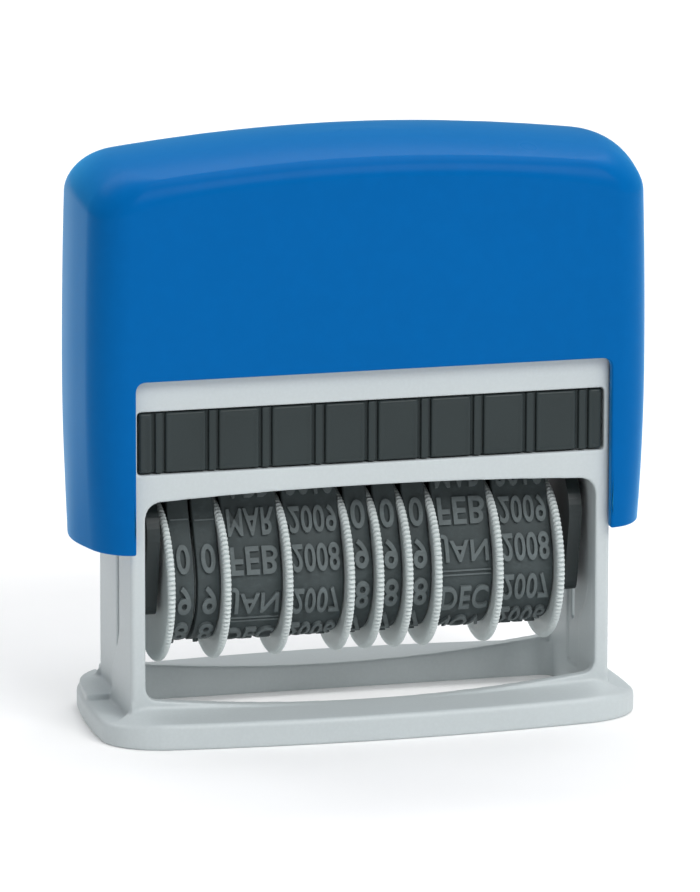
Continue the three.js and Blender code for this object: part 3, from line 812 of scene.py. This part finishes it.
# ---- date block ---------------------------------------------------------------------------
class Belt:
    """The path of a belt's outside: up the front of the drum, over the print edge and back."""

    def __init__(self, radius, tip_radius):
        reach = math.hypot(TIP[0], TIP[1] - WHEEL_Z)
        lean = math.atan2(TIP[1] - WHEEL_Z, TIP[0])
        turn = math.degrees(lean - math.acos((radius - tip_radius) / reach))
        drum, front_tip = (0, WHEEL_Z), (-TIP[0], TIP[1])
        arcs = [(drum, radius, 180, 180 - turn, 10), (front_tip, tip_radius, 180 - turn, 90, 10),
                (TIP, tip_radius, 90, turn, 10), (drum, radius, turn, -180, 84)]
        self.points, self.normals, self.at = [], [], [0.0]
        for centre, r, start, end, steps in arcs:
            self.points += arc(centre, r, start, end, steps)
            self.normals += arc((0, 0), 1, start, end, steps)
        for (y0, z0), (y1, z1) in zip(self.points, self.points[1:]):
            self.at.append(self.at[-1] + math.hypot(y1 - y0, z1 - z0))
        self.length = self.at[-1]

    def place(self, s, height):
        """The point at distance s along the belt and height over it, as (y, z)."""
        s %= self.length
        low, high = 0, len(self.at) - 1
        while high - low > 1:
            middle = (low + high) // 2
            if self.at[middle] <= s:
                low = middle
            else:
                high = middle
        t = (s - self.at[low]) / max(self.at[high] - self.at[low], 1e-9)
        (y0, z0), (y1, z1) = self.points[low], self.points[high]
        (ny0, nz0), (ny1, nz1) = self.normals[low], self.normals[high]
        ny, nz = ny0 + (ny1 - ny0) * t, nz0 + (nz1 - nz0) * t
        size = math.hypot(ny, nz)
        return y0 + (y1 - y0) * t + height * ny / size, z0 + (z1 - z0) * t + height * nz / size


BELT = Belt(BELT_R, TIP_R)
BELT_INSIDE = Belt(BELT_IN, 0.15)
GLYPHS = {}
MONTHS = ["JAN", "FEB", "MAR", "APR", "MAY", "JUN", "JUL", "AUG", "SEP", "OCT", "NOV", "DEC"]


def glyph(text):
    """Vertices in -0.5..0.5 by 0..1 by 0..1 and faces of a raised word, cut to follow a curve."""
    if text in GLYPHS:
        return GLYPHS[text]
    strips = 8
    curve = bpy.data.curves.new("glyph", "FONT")
    curve.body = text
    curve.extrude = 0.3
    curve.bevel_depth = 0.012
    curve.bevel_resolution = 0
    curve.offset = 0.008
    curve.resolution_u = 5
    curve.space_character = 1.06
    obj = bpy.data.objects.new("glyph", curve)
    scene.collection.objects.link(obj)
    mesh = bpy.data.meshes.new_from_object(obj.evaluated_get(bpy.context.evaluated_depsgraph_get()))
    bpy.data.objects.remove(obj)
    bm = bmesh.new()
    bm.from_mesh(mesh)
    bmesh.ops.remove_doubles(bm, verts=bm.verts, dist=1e-5)
    low = [min(v.co[k] for v in bm.verts) for k in range(3)]
    high = [max(v.co[k] for v in bm.verts) for k in range(3)]
    for k in range(1, strips):
        at = Vector((0, low[1] + (high[1] - low[1]) * k / strips, 0))
        cut_plane(bm, at, Vector((0, 1, 0)))
    vertices = []
    for v in bm.verts:
        u, w, h = ((v.co[k] - low[k]) / (high[k] - low[k]) for k in range(3))
        vertices.append((u - 0.5, w, h))
    bm.verts.index_update()
    faces = [[v.index for v in reversed(f.verts)] for f in bm.faces]
    bm.free()
    GLYPHS[text] = (vertices, faces)
    return GLYPHS[text]


def raised_word(text, x, s, width, height):
    """A word on the belt, centred at x and s. On the front of the block its letters hang down."""
    vertices, faces = glyph(text)
    points = []
    for u, v, h in vertices:
        y, z = BELT.place(s + height * (0.5 - v), -SUNK + (RELIEF + SUNK) * h)
        points.append((x + u * width, y, z))
    return mesh_object("word", points, faces)


def raised_bar(x0, x1, s, height, relief):
    """A thin bar across the belt."""
    points = []
    strips, slant = 3, 0.04
    profile = ((x0, -SUNK), (x0 + slant, relief), (x1 - slant, relief), (x1, -SUNK))
    for k in range(strips + 1):
        for x, lift in profile:
            y, z = BELT.place(s + height * (k / strips - 0.5), lift)
            points.append((x, y, z))
    faces = [(0, 1, 2, 3), tuple(4 * strips + i for i in (3, 2, 1, 0))]
    for k in range(strips):
        for i in range(4):
            a, b = 4 * k + i, 4 * k + (i + 1) % 4
            faces.append((a, b, b + 4, a + 4))
    return edit(mesh_object("bar", points, faces), face_out)


def rows(here, up, down, above, below):
    """Words along the belt: the first of `below` at `here`, the rest down from it, `above` going up."""
    return ([(here + up * (k + 1), text) for k, text in enumerate(above)]
            + [(here - down * k, text) for k, text in enumerate(below)])


def number_rows(here, up, down, number):
    """0 and the digits under it, with blank rows over the 0."""
    digits = [str((10 - k) % 10) for k in range(10)]
    start = digits.index(number)
    return rows(here, up, down, digits[:start][::-1] + ["", ""], digits[start:])


def year_rows(here, up, down, year):
    """Years going down, with later years over the first."""
    return rows(here, up, down, [str(year + k) for k in range(1, 6)], [str(year - k) for k in range(6)])


def month_rows(here, up, down, month, rules):
    """Months going down; two rules and a wider gap lie under January."""
    rule_gap, january_gap = 0.55, 1.45
    found = rows(here, up, down, [MONTHS[(month + k) % 12] for k in range(1, 6)], [])
    s = here
    for k in range(7):
        name = MONTHS[(month - k) % 12]
        found.append((s, name))
        if name == MONTHS[0]:
            found += [(s - rules, ""), (s - rules - rule_gap, "")]
            s -= january_gap
        s -= down
    return found


# Where the row at the front of each band lies, then the pitches over and under it.
BAND_ROWS = [
    number_rows(3.95, 5.2, 5.3, "0"), number_rows(3.9, 5.05, 5.35, "0"),
    month_rows(3.3, 5.0, 5.1, 1, 2.7), year_rows(3.25, 5.0, 5.6, 2008),
    number_rows(3.35, 5.15, 5.35, "9"), number_rows(3.1, 5.3, 5.05, "9"), number_rows(2.95, 5.4, 5.0, "9"),
    month_rows(3.35, 4.85, 5.25, 0, 2.9), year_rows(3.05, 4.9, 5.2, 2008),
]


def belt_loop(name, x0, x1):
    """The plain rubber loop of a band, with rounded outer edges."""
    edge, steps = 0.14, 200
    outside = [(x0, -edge), (x0 + edge * 0.3, -edge * 0.3), (x0 + edge, 0), (x1 - edge, 0),
               (x1 - edge * 0.3, -edge * 0.3), (x1, -edge)]
    rings = []
    for k in range(steps):
        points = [(x, *BELT.place(BELT.length * k / steps, lift)) for x, lift in outside]
        points += [(x, *BELT_INSIDE.place(BELT_INSIDE.length * k / steps, 0)) for x in (x1, x0)]
        rings.append(points)
    return skin(name, rings, closed=True)


def make_band(number, marks):
    """A date band: its loop, and the words and rules (empty text) that stand out from it."""
    node = f"date_band_{number}"
    low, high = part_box(node)
    x0, x1 = low[0] / MM, high[0] / MM
    bar_margin, bar_height, bar_relief = 0.15, 0.2, 0.2
    belt = belt_loop(node + "_relief", x0, x1)
    belt.data.materials.append(RUBBER)
    belt.data.materials.append(LIT_FIGURE_RUBBER)
    plain = len(belt.data.polygons)
    middle, width = (x0 + x1) / 2, x1 - x0
    words = []
    for s, text in marks:
        if text:
            share, height = DIGIT if len(text) == 1 else WORD
            words.append(raised_word(text, middle, s, width * share, height))
        else:
            words.append(raised_bar(x0 + bar_margin, x1 - bar_margin, s, bar_height, bar_relief))
    join(belt, words)
    # The raised figures take the lighter rubber, painted light on their tops.
    for polygon in belt.data.polygons[plain:]:
        polygon.material_index = 1
    shade_smooth(belt)
    belt.data.set_sharp_from_angle(angle=math.radians(35))
    return finish_piece(belt, "date_block", RUBBER, [node])


def make_wheel(number):
    """A thumb wheel: a thin disc with a beaded rim beside a drum that drives the band."""
    node = f"thumb_wheel_{number}"
    low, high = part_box(node)
    band_low, band_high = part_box(f"date_band_{number}")
    x0, x1 = low[0] / MM, high[0] / MM
    right = (band_low[0] + band_high[0]) / MM / 2 < (x0 + x1) / 2
    thick, flange, bore, fillet = 0.65, 0.16, 1.55, 0.25
    disc, far = (x1 - thick, x0) if right else (x0, x1)
    middle = disc + thick / 2
    sides_per_tooth, roundness, pinch, notch_deep = 8, 0.8, 0.45, 0.5

    def beads(angle, x, radius):
        if radius < RIM_R - BEAD_DEEP:
            return x, radius
        gap = 1 - abs(math.sin(angle * TEETH / 2)) ** roundness
        share = (radius - RIM_R + BEAD_DEEP) / BEAD_DEEP * gap
        return x + (middle - x) * pinch * share, radius - notch_deep * share

    def rim_side(face, out):
        """From the disc's face, out over the flange and up to the edge of the rim."""
        top = face + out * flange
        return [(face, 9.55), (top, 9.85), (top, 10.35), (top - out * 0.06, 10.68),
                (top - out * 0.22, RIM_R - 0.06)]

    a, b = disc, disc + thick
    profile = rim_side(a, -1) + [(middle, RIM_R)] + rim_side(b, 1)[::-1]
    drum = [(b, DRUM_R + fillet), (b + fillet, DRUM_R), (far, DRUM_R), (far, bore), (a, bore)]
    if right:
        drum = [(b, bore), (far, bore), (far, DRUM_R), (a - fillet, DRUM_R), (a, DRUM_R + fillet)]
    wheel = lathe_x(node + "_disc", profile + drum, TEETH * sides_per_tooth, teeth=beads)
    shade_smooth(wheel)
    wheel.data.set_sharp_from_angle(angle=math.radians(42))
    return finish_piece(wheel, f"wheel_{number}", WHEEL_GREY, [node])


def make_axle():
    """The steel rod through the wheels, with chamfered ends."""
    low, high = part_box("wheel_axle")
    x0, x1, r, chamfer = low[0] / MM, high[0] / MM, 1.25, 0.25
    profile = [(x0, AXIS_R), (x0, r - chamfer), (x0 + chamfer, r), (x1 - chamfer, r), (x1, r - chamfer),
               (x1, AXIS_R)]
    axle = lathe_x("wheel_axle_rod", profile, 48)
    soften(axle, 0)
    return finish_piece(axle, "date_block", STEEL, ["wheel_axle"])


def make_pin(name):
    """A pivot pin with domed ends."""
    low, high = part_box(name)
    x0, x1 = low[0] / MM, high[0] / MM
    r = (high[2] - low[2]) / MM / 2
    profile = [(x0, AXIS_R), (x0 + 0.03, r * 0.55), (x0 + 0.2, r * 0.9), (x0 + 0.45, r), (x1 - 0.45, r),
               (x1 - 0.2, r * 0.9), (x1 - 0.03, r * 0.55), (x1, AXIS_R)]
    pin = lathe_x(name + "_rod", profile, 40, PIVOT_Z)
    soften(pin, 0)
    return finish_piece(pin, "cap", STEEL, [name])


def keep_node(name, material, width):
    """A CAD node whose shape is right: round its edges and give it its material."""
    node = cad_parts[name]
    node.data.materials.clear()
    node.data.materials.append(material)
    round_edges(node, width, 3, 50)
    even_normals(node)


make_cap()
make_frame()
make_tray()
make_felt()
make_spring(-1, "spring_left")
make_spring(1, "spring_right")
for band_number, band_rows in enumerate(BAND_ROWS, 1):
    make_band(band_number, band_rows)
    make_wheel(band_number)
make_axle()
make_pin("pivot_pin_left")
make_pin("pivot_pin_right")
keep_node("end_plate_left", DARK, 0.15)
keep_node("end_plate_right", DARK, 0.15)
keep_node("print_bridge", DARK, 0.15)
# The yoke is made dark as painted shade under the cap's edge.
keep_node("yoke", DARK, 0.1)


# ---- studio -------------------------------------------------------------------------------
def floor_material():
    """Matt white with a slow drift in tone; it glows a little, like a table lit from all round."""
    material, nodes, links, shader = new_material("paper white")
    fibre = noise(nodes, links, 30, 4)
    links.new(ramp(nodes, links, fibre, [(0.3, 0.87), (0.7, 0.9)]), shader.inputs["Base Color"])
    shader.inputs["Emission Color"].default_value = (1, 1, 1, 1)
    shader.inputs["Emission Strength"].default_value = 0.11
    shader.inputs["Roughness"].default_value = 0.9
    shader.inputs["Specular IOR Level"].default_value = 0.1
    return material


def make_floor():
    """A wide pale table, seen from every side."""
    reach = 3500
    corners = [(-reach, -reach, 0), (reach, -reach, 0), (reach, reach, 0), (-reach, reach, 0)]
    floor = mesh_object("floor", corners, [(0, 1, 2, 3)])
    floor.data.materials.append(floor_material())


def area_light(name, place_mm, target_mm, size_mm, watts):
    """A soft rectangular lamp that faces its target."""
    light = bpy.data.lights.new(name, "AREA")
    light.shape = "RECTANGLE"
    light.size, light.size_y = size_mm[0] * MM, size_mm[1] * MM
    light.energy = watts
    obj = bpy.data.objects.new(name, light)
    obj.location = Vector(place_mm) * MM
    towards = Vector(target_mm) - Vector(place_mm)
    obj.rotation_euler = towards.to_track_quat("-Z", "Y").to_euler()
    scene.collection.objects.link(obj)


def make_lights():
    area_light("key", (240, -680, 620), (0, 0, 30), (520, 420), 4.9)
    area_light("fill", (-620, -640, 360), (0, 0, 35), (300, 400), 0.25)
    area_light("top", (160, -60, 760), (0, 0, 0), (500, 400), 2.0)
    area_light("back", (0, 640, 900), (0, 780, 0), (1500, 500), 9)
    world = bpy.data.worlds.new("studio")
    world.use_nodes = True
    background = world.node_tree.nodes["Background"]
    background.inputs["Color"].default_value = (0.95, 0.975, 1, 1)
    background.inputs["Strength"].default_value = 0.27
    scene.world = world


def make_camera():
    """The picture's view: a long lens from the front, a little to the left and above."""
    azimuth, elevation, roll = math.radians(-14.934), math.radians(12.743), math.radians(0.137)
    distance, film_width, lens = 1086.455, 36, 433.07727
    across, upward = 0.028, 4.217
    back = Vector((math.sin(azimuth) * math.cos(elevation), -math.cos(azimuth) * math.cos(elevation),
                   math.sin(elevation)))
    right = Vector((math.cos(azimuth), math.sin(azimuth), 0))
    up = back.cross(right)
    turned_right = math.cos(roll) * right + math.sin(roll) * up
    turned_up = math.cos(roll) * up - math.sin(roll) * right
    centre = Vector((0, 0, 39))
    eye = centre + back * distance - turned_right * across - turned_up * upward
    data = bpy.data.cameras.new("camera")
    data.sensor_fit = "HORIZONTAL"
    data.sensor_width = film_width
    data.lens = lens
    data.clip_end = 20
    camera = bpy.data.objects.new("camera", data)
    basis = [turned_right, turned_up, back]
    matrix = camera.matrix_world.copy()
    for column, axis in enumerate(basis):
        for row in range(3):
            matrix[row][column] = axis[row]
    for row in range(3):
        matrix[row][3] = eye[row] * MM
    camera.matrix_world = matrix
    scene.collection.objects.link(camera)
    scene.camera = camera


make_floor()
make_lights()
make_camera()
scene.view_settings.view_transform = "Standard"
